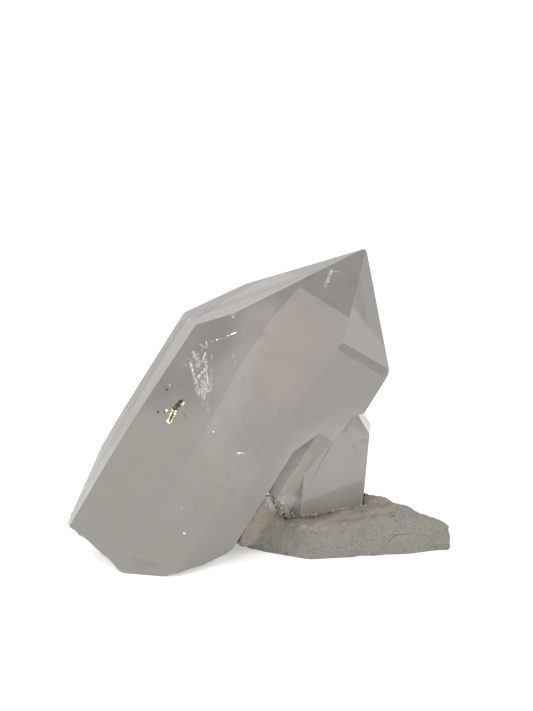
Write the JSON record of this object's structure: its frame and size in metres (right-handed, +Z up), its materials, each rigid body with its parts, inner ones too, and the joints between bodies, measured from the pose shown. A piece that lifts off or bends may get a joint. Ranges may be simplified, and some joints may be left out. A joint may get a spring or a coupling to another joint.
{
  "type": "quartz crystal cluster",
  "caption": "Clear to milky quartz point leaning over a parallel companion and a short side crystal, grown together on a small slab of matrix rock; rests on a table.",
  "frame": {"origin": "centre of the cluster's box on the surface that it rests on", "axes": "+Z up, +X to the right along the slab, towards the side that the main point leans to; seen from -Y"},
  "size_m": [0.1146, 0.064, 0.0881],
  "materials": {
    "quartz": "clear quartz with grey-brown tone, milkier towards the foot, with veils and small inclusions; faces smooth and glossy",
    "matrix_rock": "grey-beige broken rock with brown and olive stains and hairline cracks, dull"
  },
  "bodies": {
    "root": {"joined_crystals": "quartz", "matrix_slab": "matrix_rock"}
  },
  "joints": []
}
